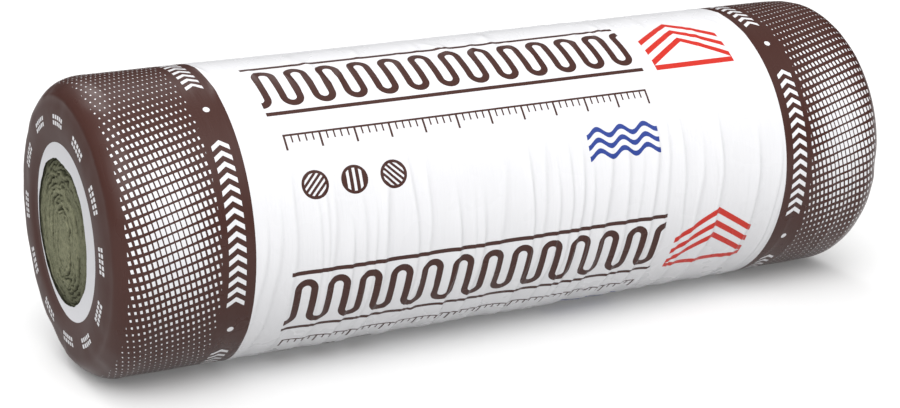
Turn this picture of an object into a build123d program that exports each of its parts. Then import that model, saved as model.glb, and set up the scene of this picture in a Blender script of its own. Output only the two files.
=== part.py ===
"""A roll of mineral-wool insulation, wrapped in shrink film.

Two pieces: the wound wool mat, and the film sleeve that is shrunk over it and laps onto both ends.
The roll lies on its side. X runs along its axis, Z is up, and the origin is on the floor under its middle.
Lengths are in millimetres.
"""

import os
from math import cos, pi, sin

from build123d import *

# The roll as packed.
ROLL_LENGTH = 1200.0
ROLL_DIAMETER = 400.0

# The film sleeve: its shoulder, the flat ring that the roll can be stood on, and the dish round the window.
FILM_THICKNESS = 0.2
SHOULDER_RADIUS = 40.0
FLAT_RING_WIDTH = 20.0
DISH_WIDTH = 42.0
DISH_DEPTH = 6.0

# The wool: the air under the film, and the bulge that swells out of each window.
FILM_AIR_GAP = 0.3
BULGE_SIDE_GAP = 1.5
BULGE_SETBACK = 0.5
BULGE_EDGE_RADIUS = 4.0

# The wound turns, which show on both ends as one spiral seam round a flattened core.
TURN_PITCH = 10.5
SEAM_WIDTH = 2.0
SEAM_DEPTH = 5.0
CORE_RADIUS = 12.0
CORE_FLATTENING_SHARE = 0.55
ARCS_PER_TURN = 6

# How far a cut starts outside the face it enters.
CUT_OVERRUN = 2.0

ROLL_RADIUS = ROLL_DIAMETER / 2
HALF_LENGTH = ROLL_LENGTH / 2
CREST_RADIUS = ROLL_RADIUS - SHOULDER_RADIUS
RIM_RADIUS = CREST_RADIUS - FLAT_RING_WIDTH
WINDOW_RADIUS = RIM_RADIUS - DISH_WIDTH
BULGE_RADIUS = WINDOW_RADIUS - BULGE_SIDE_GAP
WOOL_INSET = FILM_THICKNESS + FILM_AIR_GAP


def half_section(inset):
    """Half of the roll's section, from its middle to one end and from its axis out, inset from the film's face."""
    outside = ROLL_RADIUS - inset
    end = HALF_LENGTH - inset
    shoulder_start = HALF_LENGTH - SHOULDER_RADIUS
    dish_floor = end - DISH_DEPTH
    shoulder = CenterArc((shoulder_start, CREST_RADIUS), SHOULDER_RADIUS - inset, 0, 90)
    rest = Polyline(
        (end, CREST_RADIUS),
        (end, RIM_RADIUS),
        (dish_floor, WINDOW_RADIUS),
        (dish_floor, 0),
        (0, 0),
        (0, outside),
        (shoulder_start, outside),
    )
    return make_face([*shoulder.edges(), *rest.edges()])


def corner_rectangle(length, height):
    """A rectangle with one corner on the roll's axis at its middle."""
    return Rectangle(length, height, align=(Align.MIN, Align.MIN))


def turned(section):
    """The half section mirrored to both ends, turned about the axis and set on the floor."""
    whole = section + mirror(section, about=Plane.YZ)
    return Pos(0, 0, ROLL_RADIUS) * revolve(whole, Axis.X)


def film_wrapper():
    """The sleeve: a thin skin over the whole roll, open at the two windows."""
    skin = half_section(0) - half_section(FILM_THICKNESS)
    return turned(skin - corner_rectangle(HALF_LENGTH, WINDOW_RADIUS))


def spiral_point(angle, offset):
    """A point on the seam, or beside it by the offset. The turns flatten towards the core."""
    radius = TURN_PITCH * angle / (2 * pi) + offset
    share_out = min(radius / BULGE_RADIUS, 1)
    squash = 1 - CORE_FLATTENING_SHARE * (1 - share_out) ** 2
    return (radius * squash * cos(angle), radius * sin(angle))


def seam_wall(offset):
    """One edge of the seam, as arcs that each run through three points of the spiral."""
    first_angle = 2 * pi * CORE_RADIUS / TURN_PITCH
    last_angle = 2 * pi * (BULGE_RADIUS - BULGE_EDGE_RADIUS - SEAM_WIDTH) / TURN_PITCH
    arcs = round((last_angle - first_angle) / (2 * pi) * ARCS_PER_TURN)
    half_step = (last_angle - first_angle) / (2 * arcs)
    points = [spiral_point(first_angle + half_step * i, offset) for i in range(2 * arcs + 1)]
    return [ThreePointArc(*points[2 * i : 2 * i + 3]) for i in range(arcs)]


def seam_outline():
    """The seam between the turns as a flat spiral band, from the core out to the bulge's rounded edge."""
    inner = seam_wall(-SEAM_WIDTH / 2)
    outer = seam_wall(SEAM_WIDTH / 2)
    core_end = Line(inner[0] @ 0, outer[0] @ 0)
    outside_end = Line(inner[-1] @ 1, outer[-1] @ 1)
    return make_face([*inner, outside_end, *outer, core_end])


def wool_roll():
    """The wound mat: a turned solid whose ends bulge out of the windows and show their turns."""
    bulge = corner_rectangle(HALF_LENGTH - BULGE_SETBACK, BULGE_RADIUS)
    corner = bulge.vertices().sort_by(Axis.X).sort_by(Axis.Y)[-1]
    body = turned(half_section(WOOL_INSET) + fillet(corner, BULGE_EDGE_RADIUS))
    bulge_end = HALF_LENGTH - BULGE_SETBACK
    for side in (-1, 1):
        start = side * (bulge_end + CUT_OVERRUN)
        end_plane = Plane(origin=(start, 0, ROLL_RADIUS), x_dir=(0, 1, 0), z_dir=(1, 0, 0))
        body -= extrude(end_plane * seam_outline(), amount=-side * (SEAM_DEPTH + CUT_OVERRUN))
    return body


def main():
    os.makedirs("parts", exist_ok=True)
    for name, piece in (("film_wrapper", film_wrapper()), ("wool_roll", wool_roll())):
        export_step(piece, f"parts/{name}.step")


main()
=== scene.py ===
"""Looks of a wrapped roll of mineral-wool insulation, modelled around its CAD frame.

The file is laid out as an add-on. Settings hold the sizes and colours, one operator makes each piece and
one makes the stage. Coordinates are metres in the CAD model's frame: X runs along the roll's axis, Z is up
and the floor is at zero. The near end, which the camera sees, is at minus X, and the front is at minus Y.
"""

import math

import bmesh
import bpy
import numpy as np
from bpy.props import FloatProperty, FloatVectorProperty, PointerProperty
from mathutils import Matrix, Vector, noise


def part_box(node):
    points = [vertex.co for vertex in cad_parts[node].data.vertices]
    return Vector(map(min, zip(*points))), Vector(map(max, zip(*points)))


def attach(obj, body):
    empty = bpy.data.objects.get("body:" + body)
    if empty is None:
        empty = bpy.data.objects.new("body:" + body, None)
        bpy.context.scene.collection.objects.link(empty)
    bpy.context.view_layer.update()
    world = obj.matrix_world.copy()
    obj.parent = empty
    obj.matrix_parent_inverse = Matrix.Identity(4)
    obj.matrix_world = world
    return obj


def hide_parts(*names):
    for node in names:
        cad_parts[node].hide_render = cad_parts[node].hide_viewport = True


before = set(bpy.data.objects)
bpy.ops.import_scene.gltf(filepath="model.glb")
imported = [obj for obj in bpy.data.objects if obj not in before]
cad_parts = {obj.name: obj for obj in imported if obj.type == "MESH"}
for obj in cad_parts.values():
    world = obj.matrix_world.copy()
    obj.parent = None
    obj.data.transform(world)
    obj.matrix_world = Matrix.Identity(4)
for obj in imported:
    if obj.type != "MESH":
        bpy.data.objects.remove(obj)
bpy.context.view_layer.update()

bl_info = {
    "name": "Insulation Roll",
    "version": (1, 0, 0),
    "blender": (4, 5, 0),
    "location": "3D View > Sidebar > Insulation Roll",
    "description": "Models a wound roll of mineral wool in its printed shrink film",
    "category": "Object",
}

# The roll's main sizes come from the CAD frame.
FILM_LOW, FILM_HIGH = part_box("film_wrapper")
LENGTH = FILM_HIGH.x - FILM_LOW.x
HALF_LENGTH = LENGTH / 2
RADIUS = FILM_HIGH.y
MM = 0.001
MM_PER_M = 1000
ROUND = 2 * math.pi


def linear(hex_code):
    """A hex sRGB colour as linear RGBA."""
    shares = [int(hex_code[i : i + 2], 16) / 255 for i in (1, 3, 5)]
    return (*[s / 12.92 if s <= 0.04045 else ((s + 0.055) / 1.055) ** 2.4 for s in shares], 1.0)


def length_setting(name, description, default):
    """A length in metres that a user can change."""
    return FloatProperty(name=name, description=description, default=default, min=0, unit="LENGTH")


def colour_setting(name, description, hex_code):
    """A colour that a user can change."""
    return FloatVectorProperty(
        name=name, description=description, default=linear(hex_code), size=4, min=0, max=1, subtype="COLOR"
    )


def strength_setting(name, description, default):
    """The strength of a light that a user can change."""
    return FloatProperty(name=name, description=description, default=default, min=0)


class SleeveSettings(bpy.types.PropertyGroup):
    """Sizes of the film sleeve"""

    shoulder: length_setting("Shoulder", "How far the rounded shoulder reaches along the roll", 45 * MM)
    ridge_inset: length_setting("Ridge inset", "How far the ridge lies inside the wall", 22 * MM)
    ridge_depth: length_setting("Ridge depth", "How deep the ridge lies below the end plane", 5 * MM)
    face: length_setting("Face", "How far the end's face runs in from the ridge to the dish", 38 * MM)
    dish_width: length_setting("Dish width", "How far the film dips in towards the window", 42 * MM)
    dish_depth: length_setting("Dish depth", "How deep the window's edge lies below the end plane", 4.5 * MM)
    film: length_setting("Film", "Thickness of the film at the window's edge", 0.3 * MM)
    backing: length_setting("Backing", "Depth of the hidden inner wall under the folded face", 4 * MM)
    fold_height: length_setting("Fold height", "Height of the tallest folds", 3.6 * MM)
    dent_depth: length_setting("Dent depth", "Depth of the dents on the shoulders", 2 * MM)


class PrintSettings(bpy.types.PropertyGroup):
    """Colours and layout of the print on the film"""

    white: colour_setting("White film", "Unprinted white of the film's field", "#C0C0C2")
    brown: colour_setting("Brown ink", "Ink of the end bands and the large print", "#3A2420")
    red: colour_setting("Red ink", "Ink of the small roofs and bars", "#A82A22")
    blue: colour_setting("Blue ink", "Ink of the small waves", "#2A3A78")
    margin: colour_setting("Margin", "Unprinted film round the window, over the wool", "#B8B8BB")
    band: length_setting("Band", "Width of each printed end band", 187 * MM)
    window_margin: length_setting("Print edge", "Radius at which the print stops on the end", 118.5 * MM)


class WoolSettings(bpy.types.PropertyGroup):
    """Sizes and colours of the wound wool"""

    wool: colour_setting("Wool", "Usual colour of the mineral wool", "#6A6B56")
    pale: colour_setting("Pale fibre", "Dusty crests of the turns", "#8C8B72")
    # The dark colour is painted shade, put in the seams between the turns and towards the face's rim.
    dark: colour_setting("Dark seam", "Shade deep between the turns", "#202115")
    turn_pitch: length_setting("Turn", "Distance from one turn of the mat to the next", 10.5 * MM)
    dome_radius: length_setting("Dome radius", "Radius of the wound face with its hidden rim", 110 * MM)
    dome_depth: length_setting("Dome depth", "How far the face falls away from its middle to its rim", 5 * MM)
    groove: length_setting("Groove", "Depth of the groove that the film's edge presses in", 3.5 * MM)
    setback: length_setting("Setback", "Depth of the middle of the face below the end plane", 1.5 * MM)
    crumple: length_setting("Crumple", "Depth of the crumpled layers on the ends", 3.2 * MM)


class StageSettings(bpy.types.PropertyGroup):
    """Floor, light and camera"""

    floor: colour_setting("Floor", "Pale studio floor", "#C5C5C5")
    floor_glow: strength_setting("Floor glow", "Strength of the light that comes up through the floor", 0.12)
    floor_size: length_setting("Floor size", "Side of the square floor", 24.0)
    key: strength_setting("Key", "Strength of the soft light from high in front", 5.1)
    left: strength_setting("Left", "Strength of the soft light from high in front of the near end", 2.6)
    back: strength_setting("Back", "Strength of the small light from high behind", 5.6)
    top: strength_setting("Top", "Strength of the soft light from above, a little behind", 0.7)
    lens: FloatProperty(name="Lens", description="Focal length in millimetres", default=86.7, min=1)


class RollSettings(bpy.types.PropertyGroup):
    """All settings of the insulation roll"""

    sleeve: PointerProperty(type=SleeveSettings)
    print: PointerProperty(type=PrintSettings)
    wool: PointerProperty(type=WoolSettings)
    stage: PointerProperty(type=StageSettings)


# Mesh helpers

RING_TOLERANCE = 0.01 * MM
SEED_STEPS = (17.3, -9.1, 5.7)
FRACTAL_FADE = 1.0
FRACTAL_STEP = 2.0


def start_tube(name, vertices, radius, half_length):
    """Adds an open tube along the roll's axis and goes into edit mode with nothing selected."""
    bpy.ops.object.select_all(action="DESELECT")
    bpy.ops.mesh.primitive_cylinder_add(
        vertices=vertices,
        radius=radius,
        depth=2 * half_length,
        end_fill_type="NOTHING",
        location=(0, 0, RADIUS),
        rotation=(0, math.pi / 2, 0),
    )
    bpy.ops.object.transform_apply(location=True, rotation=True, scale=True)
    piece = bpy.context.object
    piece.name = name
    piece.data.name = name
    bpy.ops.object.mode_set(mode="EDIT")
    bpy.ops.mesh.select_mode(type="VERT")
    bpy.ops.mesh.select_all(action="DESELECT")
    return piece


def select_ring(piece, side, depth, radius):
    """Selects the ring of vertices at a depth from one end plane and a radius from the axis."""
    bpy.ops.mesh.select_mode(type="VERT")
    bpy.ops.mesh.select_all(action="DESELECT")
    edit = bmesh.from_edit_mesh(piece.data)
    for vertex in edit.verts:
        out = math.hypot(vertex.co.y, vertex.co.z - RADIUS)
        at_depth = abs(side * vertex.co.x - (HALF_LENGTH - depth)) < RING_TOLERANCE
        vertex.select = at_depth and abs(out - radius) < RING_TOLERANCE
    edit.select_flush(True)
    bmesh.update_edit_mesh(piece.data)


def extrude_rings(side, start, rings):
    """Extrudes the selected end loop, which is at start, through rings of (depth, radius) at one end."""
    depth, radius = start
    for next_depth, next_radius in rings:
        step = side * (depth - next_depth)
        bpy.ops.mesh.extrude_edges_move(TRANSFORM_OT_translate={"value": (step, 0, 0)})
        centre = (side * (HALF_LENGTH - next_depth), 0, RADIUS)
        scale = next_radius / radius
        bpy.ops.transform.resize(value=(1, scale, scale), center_override=centre)
        depth, radius = next_depth, next_radius


def points_of(piece):
    """The piece's vertices as an array."""
    flat = np.zeros(len(piece.data.vertices) * 3)
    piece.data.vertices.foreach_get("co", flat)
    return flat.reshape(-1, 3)


def move_points(piece, points):
    """Puts the piece's vertices where the array says."""
    piece.data.vertices.foreach_set("co", points.ravel())
    piece.data.update()


def smooth(low, high, value):
    """A smooth step from 0 at low to 1 at high."""
    share = np.clip((value - low) / (high - low), 0, 1)
    return share * share * (3 - 2 * share)


def grain(points, size, seed, octaves=1):
    """Smooth noise from about -1 to 1 at each point, with lumps of the given size."""
    shift = Vector([seed * step for step in SEED_STEPS])
    scaled = points / size
    if octaves == 1:
        return np.array([noise.noise(Vector(p) + shift) for p in scaled])
    fades = (FRACTAL_FADE, FRACTAL_STEP, octaves)
    return np.array([noise.fractal(Vector(p) + shift, *fades) for p in scaled])


def ride_frame(piece, node):
    """Sets the piece on the CAD body in place of its node, and hides the node."""
    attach(piece, "root")
    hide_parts(node)


# Material helpers

MIX = "ShaderNodeMix"
NOISE = "ShaderNodeTexNoise"
WHITE = (1, 1, 1, 1)


def add(tree, kind, *inputs, out=0, sockets=None, **settings):
    """Adds a node, sets its properties, fills its sockets with values or links, and returns one output."""
    made = tree.nodes.new(kind)
    for name, value in settings.items():
        setattr(made, name, value)
    for key, value in [*enumerate(inputs), *(sockets or {}).items()]:
        if isinstance(value, bpy.types.NodeSocket):
            tree.links.new(value, made.inputs[key])
        else:
            made.inputs[key].default_value = value
    return made.outputs[out] if made.outputs else None


def new_material(name):
    """An empty node material."""
    material = bpy.data.materials.new(name)
    material.use_nodes = True
    material.node_tree.nodes.clear()
    return material


# The film sleeve

AROUND = 132
WALL_RINGS = 600
SHOULDER_STEPS = 16
FACE_STEPS = 12
DISH_STEPS = 12
INNER_SHOULDER_STEPS = 4
SHARP_ANGLE = math.radians(50)


def rim_radius(sleeve):
    """Radius at which the end's face dips into the dish."""
    return RADIUS - sleeve.ridge_inset - sleeve.face


def shoulder_rings(sleeve, inset, steps):
    """Rings round the shoulder, from next to the wall to the ridge, set in by the inset."""
    reach = sleeve.shoulder - sleeve.ridge_depth
    bend = (reach**2 + sleeve.ridge_inset**2) / (2 * sleeve.ridge_inset)
    rings = []
    for i in range(1, steps + 1):
        turn = math.asin(reach / bend) * i / steps
        depth = sleeve.shoulder - (bend - inset) * math.sin(turn)
        rings.append((depth, RADIUS - bend + (bend - inset) * math.cos(turn)))
    return rings


def face_rings(sleeve):
    """Rings of the film's face at an end: shoulder, nearly flat face, then the dish down to the window."""
    rim = rim_radius(sleeve)
    rings = shoulder_rings(sleeve, 0, SHOULDER_STEPS)
    for i in range(1, FACE_STEPS + 1):
        share = 1 - i / FACE_STEPS
        rings.append((sleeve.ridge_depth * share**2, rim + sleeve.face * share))
    for i in range(1, DISH_STEPS + 1):
        share = i / DISH_STEPS
        rings.append((sleeve.dish_depth * float(smooth(0, 1, share)), rim - sleeve.dish_width * share))
    return rings


def inner_rings(sleeve):
    """Rings of the film's hidden inner wall, from the window back to the shoulder's start."""
    rim = rim_radius(sleeve)
    window = rim - sleeve.dish_width
    lip = (sleeve.dish_depth + sleeve.film, window)
    shoulder = shoulder_rings(sleeve, sleeve.backing, INNER_SHOULDER_STEPS)
    wall_end = (sleeve.shoulder, RADIUS - sleeve.backing)
    return [lip, (sleeve.backing, rim), *reversed(shoulder), wall_end]


def select_edges(piece, wanted):
    """Selects the edges that pass a test."""
    bpy.ops.mesh.select_mode(type="EDGE")
    bpy.ops.mesh.select_all(action="DESELECT")
    edit = bmesh.from_edit_mesh(piece.data)
    for edge in edit.edges:
        edge.select = wanted(edge)
    edit.select_flush_mode()
    bmesh.update_edit_mesh(piece.data)


def model_film(sleeve):
    """Models the closed film shell and returns it with the number of vertices on its outer face."""
    wall_half = HALF_LENGTH - sleeve.shoulder
    piece = start_tube("printed_film", AROUND, RADIUS, wall_half)
    face = face_rings(sleeve)
    for side in (-1, 1):
        select_ring(piece, side, sleeve.shoulder, RADIUS)
        extrude_rings(side, (sleeve.shoulder, RADIUS), face)
    select_edges(piece, lambda edge: edge.calc_length() > wall_half)
    bpy.ops.mesh.subdivide_edgering(number_cuts=WALL_RINGS, interpolation="LINEAR")
    outer_count = len(bmesh.from_edit_mesh(piece.data).verts)
    inner = inner_rings(sleeve)
    for side in (-1, 1):
        select_ring(piece, side, *face[-1])
        extrude_rings(side, face[-1], inner)
    select_edges(piece, lambda edge: edge.is_boundary)
    if bpy.ops.mesh.bridge_edge_loops() != {"FINISHED"}:
        raise RuntimeError("The film's hidden inner wall did not close")
    bpy.ops.mesh.select_all(action="SELECT")
    bpy.ops.mesh.normals_make_consistent(inside=False)
    bpy.ops.object.mode_set(mode="OBJECT")
    bpy.ops.object.shade_smooth_by_angle(angle=SHARP_ANGLE)
    return piece, outer_count


# The slack film's hanging folds. Each fold is drawn from these ranges of millimetres, degrees or shares.
FOLD_SEED = 11
FOLD_SPACINGS = (13, 36)
FOLD_TOPS = (14, 38)
FOLD_LEANS = (-0.04, 0.12)
FOLD_GENTLE_SIDES = (8, 15)
FOLD_STEEP_SIDES = (2.5, 5)
FOLD_HEIGHT_SHARES = (0.45, 1.0)

# The angle over which a fold grows below its top, and the angles between which all folds end underneath.
FOLD_GROWTH = math.radians(24)
FOLD_END = (math.radians(-80), math.radians(-60))


def hanging_folds(x, lift, sleeve, draw):
    """Folds that run down round the lower half of one side, where the film hangs slack.

    lift is the angle above the middle of that side.
    """
    height = np.zeros_like(x)
    field = HALF_LENGTH - sleeve.shoulder
    start = -field
    while start < field:
        start += draw.uniform(*FOLD_SPACINGS) * MM
        top = math.radians(draw.uniform(*FOLD_TOPS))
        lean = draw.uniform(*FOLD_LEANS)
        gentle = draw.uniform(*FOLD_GENTLE_SIDES) * MM
        steep = draw.uniform(*FOLD_STEEP_SIDES) * MM
        tall = sleeve.fold_height * draw.uniform(*FOLD_HEIGHT_SHARES)
        off = x - start + lean * RADIUS * (top - lift)
        width = np.where(off < 0, gentle, steep)
        run = smooth(top, top - FOLD_GROWTH, lift) * smooth(*FOLD_END, lift)
        height = np.maximum(height, tall * np.exp(-abs(off) / width) * run)
    return height


# Creases at a slant, along the top and low on each side: how many, round which angles in degrees, and how far
# they reach in millimetres.
TOP_CREASES = {"count": 48, "middles": (66, 86), "reaches": (18, 40)}
LOW_CREASES = {"count": 22, "middles": (-50, -30), "reaches": (20, 45)}
CREASE_LEANS = (0.2, 0.6)
CREASE_WIDTHS = (4, 6)
CREASE_HEIGHT_SHARES = (0.3, 1.0)
CREASE_FULL_SHARE = 0.2

# Height of the creases along the top of the front and the back, against the tallest folds.
TOP_CREASE_SHARE = {-1: 0.6, 1: 0.2}


def slanted_creases(x, lift, sleeve, draw, count, middles, reaches):
    """Short creases at a slant, at angles and with reaches that are drawn from the given ranges."""
    height = np.zeros_like(x)
    field = HALF_LENGTH - sleeve.shoulder
    for _ in range(count):
        middle = math.radians(draw.uniform(*middles))
        start = draw.uniform(-field, field)
        lean = draw.choice((-1, 1)) * draw.uniform(*CREASE_LEANS)
        wide = draw.uniform(*CREASE_WIDTHS) * MM
        reach = draw.uniform(*reaches) * MM
        tall = sleeve.fold_height * draw.uniform(*CREASE_HEIGHT_SHARES)
        away = RADIUS * (lift - middle)
        off = x - start - lean * away
        run = smooth(1, CREASE_FULL_SHARE, abs(away) / reach)
        height = np.maximum(height, tall * np.exp(-((off / wide) ** 2)) * run)
    return height


# How far each end's window lies off the axis, in Y and Z: the film has drawn back unevenly.
WINDOW_DRIFT = {-1: (14 * MM, -5 * MM), 1: (-9 * MM, -6 * MM)}

# Waves of the window's edge: the share of the radius that each spans, how far it strays, and its seed.
WINDOW_WAVES = ((0.55, 4 * MM, 13), (0.2, 2 * MM, 14), (0.07, 1 * MM, 15))
WINDOW_INSET = 1 * MM


def window_wave(direction):
    """How far the window's edge strays from its circle, in metres, in each direction from the axis."""
    stray = np.full(len(direction), -WINDOW_INSET)
    for span_share, depth, seed in WINDOW_WAVES:
        stray += grain(direction, span_share, seed) * depth
    for side, (drift_y, drift_up) in WINDOW_DRIFT.items():
        here = direction[:, 0] * side > 0
        stray[here] += drift_y * direction[here, 1] + drift_up * direction[here, 2]
    return stray


# Unevenness of the film. The pleats' size is a share of the radius.
FOLD_WANDER = 7 * MM
FOLD_WANDER_SIZE = 80 * MM
LUMP_HEIGHT = 0.8 * MM
LUMP_SIZE = 170 * MM
PLEAT_HEIGHT = 0.5 * MM
PLEAT_SIZE_SHARE = 0.12
DENT_SIZE = 45 * MM
DENT_SPREAD = 0.1
DENT_GAIN = 2

# Where it lies: distances from the end plane between which each kind sets in, and shares of the radius.
BAND_FOLD_SHARE = 0.3
FOLDS_SET_IN = (165 * MM, 205 * MM)
WALL_SETS_IN = (10 * MM, 50 * MM)
SHOULDER_SETS_IN = (70 * MM, 30 * MM)
SHOULDER_RADII = (0.62 * RADIUS, 0.85 * RADIUS)

# How far apart the ends lie in the noise that follows the direction from the axis, so that they differ.
END_APART = 3


def sculpt_film(piece, outer_count, sleeve):
    """Moves the film's vertices into lumps, folds, shoulder dents and a wavy window edge."""
    points = points_of(piece)
    normals = np.zeros(len(points) * 3)
    piece.data.vertex_normals.foreach_get("vector", normals)
    normals = normals.reshape(-1, 3)
    x, y, up = points[:, 0].copy(), points[:, 1].copy(), points[:, 2] - RADIUS
    out = np.hypot(y, up)
    from_end = HALF_LENGTH - abs(x)
    outer = np.arange(len(points)) < outer_count

    draw = np.random.default_rng(FOLD_SEED)
    wander = x + grain(points, FOLD_WANDER_SIZE, seed=2) * FOLD_WANDER
    folds = np.zeros(len(points))
    for side in (-1, 1):
        lift = np.arctan2(up, side * y)
        lift = np.where(lift > math.pi / 2, lift - ROUND, lift)
        folds = np.maximum(folds, hanging_folds(wander, lift, sleeve, draw))
        top_creases = slanted_creases(wander, lift, sleeve, draw, **TOP_CREASES)
        low_creases = slanted_creases(wander, lift, sleeve, draw, **LOW_CREASES)
        folds = np.maximum(folds, np.maximum(TOP_CREASE_SHARE[side] * top_creases, low_creases))
    folds *= BAND_FOLD_SHARE + (1 - BAND_FOLD_SHARE) * smooth(*FOLDS_SET_IN, from_end)
    lumps = grain(points, LUMP_SIZE, seed=3) * LUMP_HEIGHT
    on_wall = smooth(*WALL_SETS_IN, from_end) * outer
    direction = np.stack([np.sign(x) * END_APART, y / out, up / out], axis=1)
    pleats = grain(direction, PLEAT_SIZE_SHARE, seed=5) * PLEAT_HEIGHT
    dents = np.minimum(grain(points, DENT_SIZE, seed=8) + DENT_SPREAD, 0) * DENT_GAIN * sleeve.dent_depth
    on_shoulder = smooth(*SHOULDER_SETS_IN, from_end) * smooth(*SHOULDER_RADII, out) * outer
    rise = (lumps + folds) * on_wall + (pleats + dents) * on_shoulder
    rise = np.maximum(rise, -sleeve.dent_depth)
    points += normals * rise[:, None]

    rim = rim_radius(sleeve)
    strayed = window_wave(direction) * smooth(rim, rim - sleeve.dish_width, out)
    points[:, 1] += y / out * strayed
    points[:, 2] += up / out * strayed
    points[:, 2] = np.maximum(points[:, 2], 0)
    move_points(piece, points)


# The print on the film. Its lengths are in millimetres, and its counts are for one turn round the roll.

MATH = "ShaderNodeMath"
REPEATS_AROUND = 4
REPEAT_PHASE = -0.03
REPEAT_HEIGHT = ROUND * RADIUS * MM_PER_M / REPEATS_AROUND

# A ping-pong over half a step gives the distance to the nearest whole step.
HALF_STEP = 0.5

# How far the print's edge lies off the axis on the ends.
PRINT_DRIFT = 5


def stripes(tree, value, pitch, half_share):
    """1 on a stripe at each whole pitch and 0 between. half_share is half a stripe's share of the pitch."""
    steps = add(tree, MATH, value, pitch, operation="DIVIDE")
    off = add(tree, MATH, steps, HALF_STEP, operation="PINGPONG")
    return add(tree, MATH, off, half_share, operation="LESS_THAN")


def distance(tree, aside, above):
    """Distance to a point that lies so far aside and above."""
    point = add(tree, "ShaderNodeCombineXYZ", aside, above)
    return add(tree, "ShaderNodeVectorMath", point, out="Value", operation="LENGTH")


def in_box(tree, u, v, middle, size):
    """1 inside a box of the given middle and size, and 0 outside."""
    wide = add(tree, MATH, u, middle[0], size[0] / 2, operation="COMPARE")
    high = add(tree, MATH, v, middle[1], size[1] / 2, operation="COMPARE")
    return add(tree, MATH, wide, high, operation="MULTIPLY")


def halftone(tree, x, from_end, turn):
    """White squares on a slanted screen, which swell towards the middle and shrink to dots twice a turn.

    The row and column counts are whole, so that the screen closes round the roll.
    """
    rows = -105
    row_run = 46.5
    columns = 35
    column_pitch = 7.3
    largest_at = math.radians(14)
    swell_power = 2.3
    middle = 80
    reach = 60
    loss_at_reach = 0.38
    smallest = 0.28
    half_side = 0.39
    field = (80.5, 60.5)
    row_along = add(tree, MATH, x, row_run, operation="DIVIDE")
    row = add(tree, MATH, turn, rows, row_along, operation="MULTIPLY_ADD")
    column_along = add(tree, MATH, x, column_pitch, operation="DIVIDE")
    column = add(tree, MATH, turn, columns, column_along, operation="MULTIPLY_ADD")
    row_off = add(tree, MATH, row, HALF_STEP, operation="PINGPONG")
    column_off = add(tree, MATH, column, HALF_STEP, operation="PINGPONG")
    off = add(tree, MATH, row_off, column_off, operation="MAXIMUM")
    angle = add(tree, MATH, turn, ROUND, -largest_at, operation="MULTIPLY_ADD")
    facing = add(tree, MATH, angle, operation="COSINE")
    facing = add(tree, MATH, facing, operation="ABSOLUTE")
    swell = add(tree, MATH, facing, swell_power, operation="POWER")
    aside = add(tree, MATH, from_end, middle, operation="SUBTRACT")
    aside = add(tree, MATH, aside, reach, operation="DIVIDE")
    aside = add(tree, MATH, aside, 2, operation="POWER")
    fade = add(tree, MATH, aside, -loss_at_reach, 1, operation="MULTIPLY_ADD")
    size = add(tree, MATH, swell, fade, operation="MULTIPLY")
    size = add(tree, MATH, size, smallest, operation="MAXIMUM")
    half = add(tree, MATH, size, half_side, operation="MULTIPLY")
    square = add(tree, MATH, off, half, operation="LESS_THAN")
    in_field = add(tree, MATH, from_end, *field, operation="COMPARE")
    return add(tree, MATH, square, in_field, operation="MULTIPLY")


def unroll_arrows(tree, from_end, turn):
    """Groups of white arrowheads round the band, with a dot between the groups."""
    middle = 162
    start = math.radians(12) / ROUND
    heads_around = 84
    run_of_slant = 22
    half_stroke_share = 0.23
    half_width = 12
    half_gap_share = 0.12
    dot_radius = 4.5
    aside = add(tree, MATH, from_end, middle, operation="SUBTRACT")
    aside = add(tree, MATH, aside, operation="ABSOLUTE")
    turn = add(tree, MATH, turn, start, operation="SUBTRACT")
    along = add(tree, MATH, turn, heads_around, operation="MULTIPLY")
    bent = add(tree, MATH, aside, 1 / run_of_slant, along, operation="MULTIPLY_ADD")
    heads = stripes(tree, bent, 1, half_stroke_share)
    inside = add(tree, MATH, aside, half_width, operation="LESS_THAN")
    heads = add(tree, MATH, heads, inside, operation="MULTIPLY")
    number = add(tree, MATH, bent, operation="ROUND")
    group = add(tree, MATH, number, REPEATS_AROUND / heads_around, HALF_STEP, operation="MULTIPLY_ADD")
    to_gap = add(tree, MATH, group, HALF_STEP, operation="PINGPONG")
    grouped = add(tree, MATH, to_gap, half_gap_share, operation="GREATER_THAN")
    heads = add(tree, MATH, heads, grouped, operation="MULTIPLY")
    group = add(tree, MATH, turn, REPEATS_AROUND, HALF_STEP, operation="MULTIPLY_ADD")
    to_gap = add(tree, MATH, group, HALF_STEP, operation="PINGPONG")
    gap_arc = add(tree, MATH, to_gap, REPEAT_HEIGHT, operation="MULTIPLY")
    dot = add(tree, MATH, distance(tree, gap_arc, aside), dot_radius, operation="LESS_THAN")
    return add(tree, MATH, heads, dot, operation="MAXIMUM")


def end_marks(tree, out, from_end, turn):
    """Twelve small blocks of white squares round the end, like the screen on the band."""
    columns = 120
    row_pitch = 8
    half_side = 0.34
    ring = (148, 7.9)
    blocks = 12
    half_block_share = 0.25
    face_depth = 12
    column = add(tree, MATH, turn, columns, operation="MULTIPLY")
    column = add(tree, MATH, column, HALF_STEP, operation="PINGPONG")
    row = add(tree, MATH, out, row_pitch, operation="DIVIDE")
    row = add(tree, MATH, row, HALF_STEP, operation="PINGPONG")
    off = add(tree, MATH, row, column, operation="MAXIMUM")
    marks = add(tree, MATH, off, half_side, operation="LESS_THAN")
    in_ring = add(tree, MATH, out, *ring, operation="COMPARE")
    in_block = stripes(tree, turn, 1 / blocks, half_block_share)
    on_face = add(tree, MATH, from_end, face_depth, operation="LESS_THAN")
    for mask in (in_ring, in_block, on_face):
        marks = add(tree, MATH, marks, mask, operation="MULTIPLY")
    return marks


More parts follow.
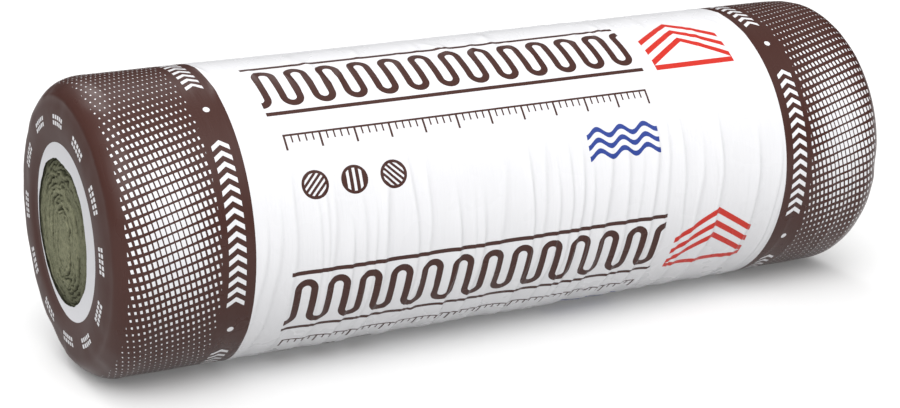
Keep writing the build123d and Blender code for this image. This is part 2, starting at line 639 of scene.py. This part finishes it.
def insulation_loops(tree, u, v):
    """The loops that stand for insulation on a building drawing, between two rails."""
    middle = (-75, 60)
    height = 66
    strokes = 25
    pitch = 46
    line = 10
    rail_gap = 12
    rail_line = 6
    length = strokes * pitch / 2
    along = add(tree, MATH, u, middle[0] - length / 2 + pitch / 2, operation="SUBTRACT")
    above = add(tree, MATH, v, middle[1], operation="SUBTRACT")
    below = add(tree, MATH, above, 0, operation="LESS_THAN")
    along = add(tree, MATH, below, pitch / 2, along, operation="MULTIPLY_ADD")
    loop = add(tree, MATH, along, pitch, operation="DIVIDE")
    loop = add(tree, MATH, loop, HALF_STEP, operation="PINGPONG")
    aside = add(tree, MATH, loop, pitch, operation="MULTIPLY")
    high = add(tree, MATH, above, operation="ABSOLUTE")
    over = add(tree, MATH, high, height / 2 - pitch / 4, operation="SUBTRACT")
    over = add(tree, MATH, over, 0, operation="MAXIMUM")
    loops = add(tree, MATH, distance(tree, aside, over), pitch / 4, line / 2, operation="COMPARE")
    inner_height = height + 2 * rail_gap
    inside = in_box(tree, u, v, middle, (length, inner_height))
    around = in_box(tree, u, v, middle, (length, inner_height + 2 * rail_line))
    rails = add(tree, MATH, around, inside, operation="SUBTRACT")
    loops = add(tree, MATH, loops, inside, operation="MULTIPLY")
    return add(tree, MATH, loops, rails, operation="MAXIMUM")


def cutting_scale(tree, u, v):
    """A bare scale for cutting: a base line with ticks each 10 mm and longer ticks each 50 mm.

    A row of ticks has its pitch, half a tick's share of that, its middle's height and its length.
    """
    middle = -75
    length = 553
    base_height = -22
    base_line = 3
    tick_rows = ((10, 0.11, -27, 12), (50, 0.03, -32, 22))
    scale = in_box(tree, u, v, (middle, base_height), (length, base_line))
    for pitch, half_share, height, tick_length in tick_rows:
        ticks = stripes(tree, u, pitch, half_share)
        row = in_box(tree, u, v, (middle, height), (length, tick_length))
        ticks = add(tree, MATH, ticks, row, operation="MULTIPLY")
        scale = add(tree, MATH, scale, ticks, operation="MAXIMUM")
    return scale


def hatched_discs(tree, u, v):
    """Three small discs, each hatched at another slant."""
    count = 3
    pitch = 56
    radius = 19
    rim = 4
    hatch_pitch = 9
    half_hatch_share = 0.22
    first = -351
    height = -92
    along = add(tree, MATH, u, first, operation="SUBTRACT")
    along = add(tree, MATH, along, pitch, operation="DIVIDE")
    number = add(tree, MATH, along, operation="FLOOR")
    local = add(tree, MATH, along, number, operation="SUBTRACT")
    local = add(tree, MATH, local, pitch, -pitch / 2, operation="MULTIPLY_ADD")
    above = add(tree, MATH, v, height, operation="SUBTRACT")
    out = distance(tree, local, above)
    disc = add(tree, MATH, out, radius, operation="LESS_THAN")
    core = add(tree, MATH, out, radius - rim, operation="LESS_THAN")
    slant = add(tree, MATH, number, 1, operation="SUBTRACT")
    slanted = add(tree, MATH, slant, above, local, operation="MULTIPLY_ADD")
    hatch = stripes(tree, slanted, hatch_pitch, half_hatch_share)
    hatch = add(tree, MATH, hatch, core, operation="MULTIPLY")
    discs = add(tree, MATH, disc, hatch, operation="SUBTRACT")
    row = in_box(tree, u, v, (first + count * pitch / 2, height), (count * pitch, pitch))
    return add(tree, MATH, discs, row, operation="MULTIPLY")


def nested_roofs(tree, u, v):
    """Three roofs, one inside the other, over a bar."""
    middle = 300
    width = 132
    low = 20
    pitch = 21
    pitch_of_roof = 0.62
    half_line_share = 0.24
    middle_roof = 3
    reach_in_roofs = 1.3
    roofs_middle = 64
    roofs_height = 100
    bar_middle = 12
    bar_height = 9
    aside = add(tree, MATH, u, middle, operation="SUBTRACT")
    aside = add(tree, MATH, aside, operation="ABSOLUTE")
    above = add(tree, MATH, v, low, operation="SUBTRACT")
    slope = add(tree, MATH, aside, pitch_of_roof, above, operation="MULTIPLY_ADD")
    roofs = stripes(tree, slope, pitch, half_line_share)
    three = add(tree, MATH, slope, middle_roof * pitch, reach_in_roofs * pitch, operation="COMPARE")
    roofs = add(tree, MATH, roofs, three, operation="MULTIPLY")
    inside = in_box(tree, u, v, (middle, roofs_middle), (width, roofs_height))
    roofs = add(tree, MATH, roofs, inside, operation="MULTIPLY")
    bar = in_box(tree, u, v, (middle, bar_middle), (width, bar_height))
    return add(tree, MATH, roofs, bar, operation="MAXIMUM")


def small_waves(tree, u, v):
    """Three short wavy lines."""
    middle = (144, -90)
    half_width = 57
    half_height = 22
    wave_length = 38
    wave_height = 5
    pitch = 15
    half_line_share = 0.24
    ripple = add(tree, MATH, u, ROUND / wave_length, operation="MULTIPLY")
    ripple = add(tree, MATH, ripple, operation="SINE")
    height = add(tree, MATH, ripple, wave_height, v, operation="MULTIPLY_ADD")
    lines = stripes(tree, height, pitch, half_line_share)
    high = add(tree, MATH, height, middle[1], half_height, operation="COMPARE")
    wide = add(tree, MATH, u, middle[0], half_width, operation="COMPARE")
    lines = add(tree, MATH, lines, high, operation="MULTIPLY")
    return add(tree, MATH, lines, wide, operation="MULTIPLY")


# Finish of the film: fine creases that run round the roll, gloss, and how dull the wall, the ends and the
# patches that were handled are.
FINE_CREASE_SIZE = 9 * MM
FINE_CREASE_RELIEF = 0.7 * MM
FINE_CREASE_STRENGTH = 0.5
FINE_CREASE_STRETCH = (1, 0.12, 0.12)
FILM_GLOSS = 0.16
WALL_DULLNESS = 0.2
FACE_DULLNESS = 0.27
HANDLED_DULLNESS = 0.16
HANDLED_SIZE = 60 * MM

# How far outside and inside the shoulder's ridge the ends' dullness sets in.
DULL_OUTSIDE = 10
DULL_INSIDE = 14


def printed_film(settings):
    """Printed polyethylene shrink film, blown, printed in a few flat inks and shrunk tight.

    It is smooth and glossy, so its folds catch long soft lights, and fine creases run round the roll.
    Handling has dulled it in patches, and the ends are duller still, because the film is wrinkled where it
    has shrunk most.
    """
    ink = settings.print
    material = new_material("printed_polyethylene_film")
    tree = material.node_tree
    place = add(tree, "ShaderNodeTexCoord", out="Object")
    from_axis = add(tree, "ShaderNodeVectorMath", place, (0, 0, RADIUS), operation="SUBTRACT")
    in_mm = add(tree, "ShaderNodeVectorMath", from_axis, sockets={"Scale": MM_PER_M}, operation="SCALE")
    x, y, up = add(tree, "ShaderNodeSeparateXYZ", in_mm).node.outputs
    along = add(tree, MATH, x, operation="ABSOLUTE")
    from_end = add(tree, MATH, HALF_LENGTH * MM_PER_M, along, operation="SUBTRACT")
    front = add(tree, MATH, y, -1, operation="MULTIPLY")
    angle = add(tree, MATH, up, front, operation="ARCTAN2")
    turn = add(tree, MATH, angle, 1 / ROUND, operation="MULTIPLY")
    out = distance(tree, y, up)
    side = add(tree, MATH, x, operation="SIGN")
    drifted = add(tree, MATH, side, -PRINT_DRIFT, y, operation="MULTIPLY_ADD")
    from_window = distance(tree, drifted, up)
    repeat = add(tree, MATH, turn, REPEATS_AROUND, REPEAT_PHASE, operation="MULTIPLY_ADD")
    repeat = add(tree, MATH, repeat, operation="FRACT")
    v = add(tree, MATH, repeat, REPEAT_HEIGHT, -REPEAT_HEIGHT / 2, operation="MULTIPLY_ADD")

    squares = halftone(tree, x, from_end, turn)
    arrows = unroll_arrows(tree, from_end, turn)
    marks = end_marks(tree, out, from_end, turn)
    spared = add(tree, MATH, squares, arrows, operation="MAXIMUM")
    spared = add(tree, MATH, spared, marks, operation="MAXIMUM")
    in_band = add(tree, MATH, from_end, ink.band * MM_PER_M, operation="LESS_THAN")
    browned = add(tree, MATH, in_band, spared, operation="SUBTRACT")
    for motif in (insulation_loops, cutting_scale, hatched_discs):
        browned = add(tree, MATH, browned, motif(tree, x, v), operation="MAXIMUM")
    in_margin = add(tree, MATH, from_window, ink.window_margin * MM_PER_M, operation="LESS_THAN")
    layers = (
        (browned, ink.brown),
        (nested_roofs(tree, x, v), ink.red),
        (small_waves(tree, x, v), ink.blue),
        (in_margin, ink.margin),
    )
    colour = ink.white
    for mask, over in layers:
        colour = add(tree, MIX, sockets={0: mask, 6: colour, 7: over}, out=2, data_type="RGBA")

    creased = add(tree, "ShaderNodeVectorMath", place, FINE_CREASE_STRETCH, operation="MULTIPLY")
    creases = add(
        tree,
        NOISE,
        sockets={"Vector": creased, "Scale": 1 / FINE_CREASE_SIZE, "Detail": 3, "Roughness": 0.6},
    )
    bump = add(
        tree,
        "ShaderNodeBump",
        sockets={"Strength": FINE_CREASE_STRENGTH, "Distance": FINE_CREASE_RELIEF, "Height": creases},
    )
    ridge = (RADIUS - settings.sleeve.ridge_inset) * MM_PER_M
    on_face = add(
        tree,
        "ShaderNodeMapRange",
        out,
        ridge + DULL_OUTSIDE,
        ridge - DULL_INSIDE,
        0,
        1,
        interpolation_type="SMOOTHSTEP",
    )
    handled = add(tree, NOISE, sockets={"Vector": place, "Scale": 1 / HANDLED_SIZE, "Detail": 3})
    dullness = add(tree, MATH, on_face, FACE_DULLNESS, WALL_DULLNESS, operation="MULTIPLY_ADD")
    dullness = add(tree, MATH, handled, HANDLED_DULLNESS, dullness, operation="MULTIPLY_ADD")
    surface = add(
        tree,
        "ShaderNodeBsdfPrincipled",
        sockets={
            "Base Color": colour,
            "Roughness": dullness,
            "Specular IOR Level": FILM_GLOSS,
            "Normal": bump,
        },
    )
    add(tree, "ShaderNodeOutputMaterial", surface)
    return material


class INSULATION_OT_film(bpy.types.Operator):
    """Models the printed film sleeve, with its shoulders, folds and end windows"""

    bl_idname = "insulation.film"
    bl_label = "Film sleeve"

    def execute(self, context):
        settings = context.scene.insulation_roll
        piece, outer_count = model_film(settings.sleeve)
        sculpt_film(piece, outer_count, settings.sleeve)
        piece.data.materials.append(printed_film(settings))
        ride_frame(piece, "film_wrapper")
        return {"FINISHED"}


# The wound wool

WOOL_AROUND = 288
FACE_STEP = 1.0 * MM
DOME_POWER = 4
GROOVE_RADIUS = 96 * MM
GROOVE_WIDTH = 8 * MM
UNDER_FILM = 5.5 * MM


def wool_rings(sleeve, wool):
    """Rings from the hidden wall's end, in under the film, then up the domed face and in to its middle."""
    rings = [(UNDER_FILM + MM, rim_radius(sleeve))]
    steps = round(wool.dome_radius / FACE_STEP)
    for i in range(steps):
        share = 1 - i / steps
        radius = wool.dome_radius * share
        groove = wool.groove * math.exp(-(((radius - GROOVE_RADIUS) / GROOVE_WIDTH) ** 2))
        rings.append((wool.setback + wool.dome_depth * share**DOME_POWER + groove, radius))
    return rings


def model_wool(sleeve, wool):
    """Models the wound roll as a closed body with finely divided ends."""
    start = (sleeve.shoulder, RADIUS - UNDER_FILM)
    piece = start_tube("wound_wool", WOOL_AROUND, start[1], HALF_LENGTH - start[0])
    for side in (-1, 1):
        select_ring(piece, side, *start)
        extrude_rings(side, start, wool_rings(sleeve, wool))
        bpy.ops.mesh.extrude_edges_move(TRANSFORM_OT_translate={"value": (0, 0, 0)})
        bpy.ops.mesh.merge(type="CENTER")
    bpy.ops.mesh.select_all(action="SELECT")
    bpy.ops.mesh.normals_make_consistent(inside=False)
    bpy.ops.object.mode_set(mode="OBJECT")
    bpy.ops.object.shade_smooth()
    return piece


# The upright slit that the mat's start is pressed into: half its height, and where it lies on each end, off
# the middle of the face, in Y and Z.
CORE_REACH = 26 * MM
CORE_PLACE = {-1: (-9 * MM, -8 * MM), 1: (10 * MM, 4 * MM)}
CORE_ROUNDS = 8


def wound_round_slit(y, up, bulge):
    """Distance and angle from the slit at the core.

    The turns lie along the slit there and grow round further out. Each round brings the distance, which the
    slit's length depends on, nearer to its true value.
    """
    out = np.hypot(y, up)
    for _ in range(CORE_ROUNDS):
        reach = CORE_REACH * (1 - np.clip(out / bulge, 0, 1))
        beyond = np.sign(up) * np.maximum(abs(up) - reach, 0)
        out = np.hypot(y, beyond)
    return out, np.arctan2(beyond, y)


# Where the turns are crushed, above and below the core, and how they stray: in slow waves, in crumples that
# grow where they are crushed, and in a fine fray.
CRUSHED_HEIGHTS = (14 * MM, 34 * MM)
CRUSHED_WIDTHS = (60 * MM, 22 * MM)
WAVE_DEPTH = 4.5 * MM
WAVE_SIZE = 34 * MM
CRUMPLE_DEPTH = 5 * MM
CRUMPLE_SIZE = 9 * MM
CRUMPLE_LEAST = 0.2
FRAY_DEPTH = 1.3 * MM
FRAY_SIZE = 4.5 * MM

# Distances from the core's slit over which the turns set in, and over which the inmost seams gape.
TURNS_SET_IN = (11 * MM, 15 * MM)
INMOST_SETS_IN = (34 * MM, 18 * MM)

# The seams between turns: which share of half a turn they take, and where they stand open.
SEAM_EDGES = (0.48, 0.84)
OPEN_SIZE = 20 * MM
OPEN_GAIN = 1.6
OPEN_USUALLY = 0.5
OPEN_MORE = 0.4

# Layers stand out or lie back in waves along the mat: the height, waves for each turn and start of each wave.
STAGGER_WAVES = ((0.7, 0.37, 4.1), (0.3, 1.42, 0))
LAMINAE = 3
CLUMP_SIZE = 17 * MM
TUFT_SIZE = 2.6 * MM
TUFT_HEIGHT = 0.6 * MM

# How much each raises the face, as a share of the crumple setting.
STAGGER_RISE = 0.4
SEAM_FALL = 1.6
LAMINA_FALL = 0.2
CLUMP_RISE = 0.4

# Towards the film the face is calmer and is given painted shade, from and to these shares of its radius.
RIM_SETS_IN = (0.79, 0.95)
SHADE_SETS_IN = (0.45, 0.85)
RIM_CALM = 0.7
RIM_SHADE = 0.4

# How much paler each makes the wool.
USUAL_PALENESS = 0.5
STAGGER_PALENESS = 0.25
CLUMP_PALENESS = 0.4
LAMINA_PALENESS = -0.175

# How far beyond the face's rim, and how deep below the end plane, a vertex still counts as on the face.
FACE_MARGIN = 0.5 * MM
FACE_DEPTH = 20 * MM

# How far each face lies off the middle in the noise, so that the two ends differ.
FACE_APART = 0.5


def turn_stray(flat, crushed, wave_seed, crumple_seed):
    """How far the turns stray in one direction."""
    waves = grain(flat, WAVE_SIZE, wave_seed) * WAVE_DEPTH
    crumples = grain(flat, CRUMPLE_SIZE, crumple_seed, octaves=2) * CRUMPLE_DEPTH
    return waves + crumples * (CRUMPLE_LEAST + crushed)


def sculpt_wool(piece, wool):
    """Raises the wound turns on both ends and marks how much painted shade and how pale each place gets."""
    points = points_of(piece)
    x, y, up = points[:, 0].copy(), points[:, 1].copy(), points[:, 2] - RADIUS
    in_face = np.hypot(y, up) < wool.dome_radius + FACE_MARGIN
    on_end = in_face & (abs(x) > HALF_LENGTH - FACE_DEPTH)
    painted_wool_shade = np.zeros(len(points))
    paleness = np.zeros(len(points))
    for side in (-1, 1):
        here = on_end & (x * side > 0)
        face_y, face_up = y[here], up[here]
        flat = np.stack([np.full(len(face_y), side * FACE_APART), face_y, face_up], axis=1)
        core_y = face_y - CORE_PLACE[side][0]
        core_up = face_up - CORE_PLACE[side][1]
        crushed = smooth(*CRUSHED_HEIGHTS, abs(core_up)) * smooth(*CRUSHED_WIDTHS, abs(core_y))
        core_y = core_y + turn_stray(flat, crushed, wave_seed=21, crumple_seed=23)
        core_up = core_up + turn_stray(flat, crushed, wave_seed=22, crumple_seed=24)
        turn_out, turn_angle = wound_round_slit(core_y, core_up, wool.dome_radius)
        turn_out = turn_out + grain(flat, FRAY_SIZE, seed=30) * FRAY_DEPTH
        phase = turn_out / wool.turn_pitch - turn_angle / ROUND
        number = np.floor(phase)
        share = phase - number
        edge = abs(2 * share - 1)
        wound = smooth(*TURNS_SET_IN, turn_out)
        inmost = smooth(*INMOST_SETS_IN, turn_out)
        open_seam = OPEN_USUALLY + OPEN_GAIN * grain(flat, OPEN_SIZE, seed=25)
        open_seam += OPEN_MORE * (crushed + inmost)
        seam = smooth(*SEAM_EDGES, edge) * np.clip(open_seam, 0, 1) * wound
        along = number + turn_angle / ROUND
        waves = [tall * np.sin(ROUND * rate * along + start) for tall, rate, start in STAGGER_WAVES]
        stagger = sum(waves) * wound
        lamina = abs((share * LAMINAE) % 1 - 0.5) * 2
        clumps = grain(flat, CLUMP_SIZE, seed=26, octaves=3)
        tufts = grain(flat, TUFT_SIZE, seed=27, octaves=3)
        relief = STAGGER_RISE * stagger - SEAM_FALL * seam - LAMINA_FALL * lamina + CLUMP_RISE * clumps
        rise = wool.crumple * relief + TUFT_HEIGHT * tufts
        face_out = np.hypot(face_y, face_up) / wool.dome_radius
        rim = smooth(*RIM_SETS_IN, face_out)
        points[here, 0] += side * rise * (1 - RIM_CALM * rim)
        points[here, 1] += WINDOW_DRIFT[side][0]
        points[here, 2] += WINDOW_DRIFT[side][1]
        # Painted shade: the face's colour is darkened towards its rim, where the film's edge shades it.
        painted_rim_shade = RIM_SHADE * (smooth(*SHADE_SETS_IN, face_out) + rim)
        painted_wool_shade[here] = np.clip(seam + painted_rim_shade, 0, 1)
        paler = STAGGER_PALENESS * stagger + CLUMP_PALENESS * clumps + LAMINA_PALENESS * lamina
        paleness[here] = np.clip(USUAL_PALENESS + paler, 0, 1)
    move_points(piece, points)
    # The seams' painted shade and the rim's painted shade are stored together in one attribute.
    for name, values in (("painted_wool_shade", painted_wool_shade), ("paleness", paleness)):
        layer = piece.data.attributes.new(name, "FLOAT", "POINT")
        layer.data.foreach_set("value", values.astype(np.float32))


# Finish of the wool. A real fibre is far too fine to show in the render, so the fibres are drawn as coarse as
# they need to be to show.
FIBRE_SIZE = 1.6 * MM
FIBRE_STRETCH = (1, 1, 0.3)
FIBRE_RELIEF = 1.2 * MM
FIBRE_STRENGTH = 0.8
BLOTCH_SIZE = 11 * MM
SPECK_LEVELS = (0.36, 0.5)
SPECK_SHADE = 0.55
SEAM_SHADE = 0.9
WOOL_DULLNESS = 0.95
WOOL_GLOSS = 0.15


def mineral_wool(wool):
    """Mineral wool: spun glass fibre in a brown binder, cut and wound.

    It is dull and open, olive-brown with dusty crests and fuzzy with short fibres. Shade between the turns
    and towards the rim is painted into its colour.
    """
    material = new_material("mineral_wool")
    tree = material.node_tree
    place = add(tree, "ShaderNodeTexCoord", out="Object")
    seam = add(tree, "ShaderNodeAttribute", out="Fac", attribute_name="painted_wool_shade")
    pale = add(tree, "ShaderNodeAttribute", out="Fac", attribute_name="paleness")
    blotch = add(tree, NOISE, sockets={"Vector": place, "Scale": 1 / BLOTCH_SIZE, "Detail": 4})
    layered = add(tree, "ShaderNodeVectorMath", place, FIBRE_STRETCH, operation="MULTIPLY")
    fibre = add(
        tree, NOISE, sockets={"Vector": layered, "Scale": 1 / FIBRE_SIZE, "Detail": 4, "Roughness": 0.7}
    )
    dust = add(tree, MATH, pale, blotch, operation="MULTIPLY")
    dust = add(tree, MATH, dust, fibre, operation="MULTIPLY")
    base = add(tree, MIX, sockets={0: dust, 6: wool.wool, 7: wool.pale}, out=2, data_type="RGBA")
    speck = add(tree, "ShaderNodeMapRange", fibre, *SPECK_LEVELS, SPECK_SHADE, 0)
    specked = add(tree, MIX, sockets={0: speck, 6: base, 7: wool.dark}, out=2, data_type="RGBA")
    # Painted shade: the colour is darkened in the seams between the turns and towards the rim.
    shade = add(tree, MATH, seam, SEAM_SHADE, operation="MULTIPLY")
    colour = add(tree, MIX, sockets={0: shade, 6: specked, 7: wool.dark}, out=2, data_type="RGBA")
    bump = add(
        tree,
        "ShaderNodeBump",
        sockets={"Strength": FIBRE_STRENGTH, "Distance": FIBRE_RELIEF, "Height": fibre},
    )
    surface = add(
        tree,
        "ShaderNodeBsdfPrincipled",
        sockets={
            "Base Color": colour,
            "Roughness": WOOL_DULLNESS,
            "Specular IOR Level": WOOL_GLOSS,
            "Normal": bump,
        },
    )
    add(tree, "ShaderNodeOutputMaterial", surface)
    return material


class INSULATION_OT_wool(bpy.types.Operator):
    """Models the wound wool, whose turns swell out of the end windows"""

    bl_idname = "insulation.wool"
    bl_label = "Wound wool"

    def execute(self, context):
        settings = context.scene.insulation_roll
        piece = model_wool(settings.sleeve, settings.wool)
        sculpt_wool(piece, settings.wool)
        piece.data.materials.append(mineral_wool(settings.wool))
        ride_frame(piece, "wool_roll")
        return {"FINISHED"}


# The stage

CAMERA_PLACE = (-1.4356, -2.6175, 1.0101)
CAMERA_AIM = (-0.02745, 0, 0.16005)
SENSOR_WIDTH = 36
KEY_FROM = (-0.14, -0.56, 0.82)
LEFT_FROM = (-0.5, -0.5, 0.7)
BACK_FROM = (0, 0.57, 0.82)
TOP_FROM = (0, 0.5, 0.87)
SOFT = 6
SMALL = 28
FLOOR_DULLNESS = 0.9


def studio_floor(stage):
    """Opal acrylic shooting table: matt, and lit a little from below, so that the shadow on it stays pale."""
    material = new_material("opal_acrylic")
    tree = material.node_tree
    surface = add(
        tree,
        "ShaderNodeBsdfPrincipled",
        sockets={
            "Base Color": stage.floor,
            "Roughness": FLOOR_DULLNESS,
            "Emission Color": WHITE,
            "Emission Strength": stage.floor_glow,
        },
    )
    add(tree, "ShaderNodeOutputMaterial", surface)
    return material


def studio_air(stage):
    """Four soft-edged lights in the air round the roll."""
    world = bpy.data.worlds.new("studio_air")
    world.use_nodes = True
    tree = world.node_tree
    tree.nodes.clear()
    place = add(tree, "ShaderNodeTexCoord", out="Generated")
    lights = (
        (KEY_FROM, stage.key, SOFT),
        (LEFT_FROM, stage.left, SOFT),
        (BACK_FROM, stage.back, SMALL),
        (TOP_FROM, stage.top, SOFT),
    )
    strength = 0
    for light_from, power, sharpness in lights:
        towards = Vector(light_from).normalized()
        facing = add(tree, "ShaderNodeVectorMath", place, towards, out="Value", operation="DOT_PRODUCT")
        facing = add(tree, MATH, facing, 0, operation="MAXIMUM")
        facing = add(tree, MATH, facing, sharpness, operation="POWER")
        strength = add(tree, MATH, facing, power, strength, operation="MULTIPLY_ADD")
    air = add(tree, "ShaderNodeBackground", WHITE, strength)
    add(tree, "ShaderNodeOutputWorld", air)
    return world


class INSULATION_OT_stage(bpy.types.Operator):
    """Sets out the pale floor, the soft studio light and the camera"""

    bl_idname = "insulation.stage"
    bl_label = "Stage"

    def execute(self, context):
        stage = context.scene.insulation_roll.stage
        bpy.ops.object.select_all(action="DESELECT")
        bpy.ops.mesh.primitive_plane_add(size=stage.floor_size)
        floor = context.object
        floor.name = "studio_floor"
        floor.data.materials.append(studio_floor(stage))
        context.scene.world = studio_air(stage)
        context.scene.view_settings.view_transform = "Standard"
        bpy.ops.object.camera_add(location=CAMERA_PLACE)
        camera = context.object
        camera.name = "photo_camera"
        look = Vector(CAMERA_AIM) - Vector(CAMERA_PLACE)
        camera.rotation_euler = look.to_track_quat("-Z", "Y").to_euler()
        camera.data.sensor_width = SENSOR_WIDTH
        camera.data.lens = stage.lens
        context.scene.camera = camera
        return {"FINISHED"}


class INSULATION_PT_sidebar(bpy.types.Panel):
    """Buttons and settings of the insulation roll"""

    bl_label = "Insulation Roll"
    bl_idname = "INSULATION_PT_sidebar"
    bl_space_type = "VIEW_3D"
    bl_region_type = "UI"
    bl_category = "Insulation Roll"

    def draw(self, context):
        settings = context.scene.insulation_roll
        groups = (
            (INSULATION_OT_wool, settings.wool),
            (INSULATION_OT_film, settings.sleeve),
            (None, settings.print),
            (INSULATION_OT_stage, settings.stage),
        )
        for operator, group in groups:
            box = self.layout.box()
            if operator:
                box.operator(operator.bl_idname)
            for name in group.bl_rna.properties.keys():
                if name not in ("rna_type", "name"):
                    box.prop(group, name)


CLASSES = (
    SleeveSettings,
    PrintSettings,
    WoolSettings,
    StageSettings,
    RollSettings,
    INSULATION_OT_film,
    INSULATION_OT_wool,
    INSULATION_OT_stage,
    INSULATION_PT_sidebar,
)


def register():
    for item in CLASSES:
        bpy.utils.register_class(item)
    bpy.types.Scene.insulation_roll = PointerProperty(type=RollSettings)


def unregister():
    del bpy.types.Scene.insulation_roll
    for item in reversed(CLASSES):
        bpy.utils.unregister_class(item)


def main():
    register()
    bpy.ops.insulation.wool()
    bpy.ops.insulation.film()
    bpy.ops.insulation.stage()


if __name__ == "__main__":
    main()
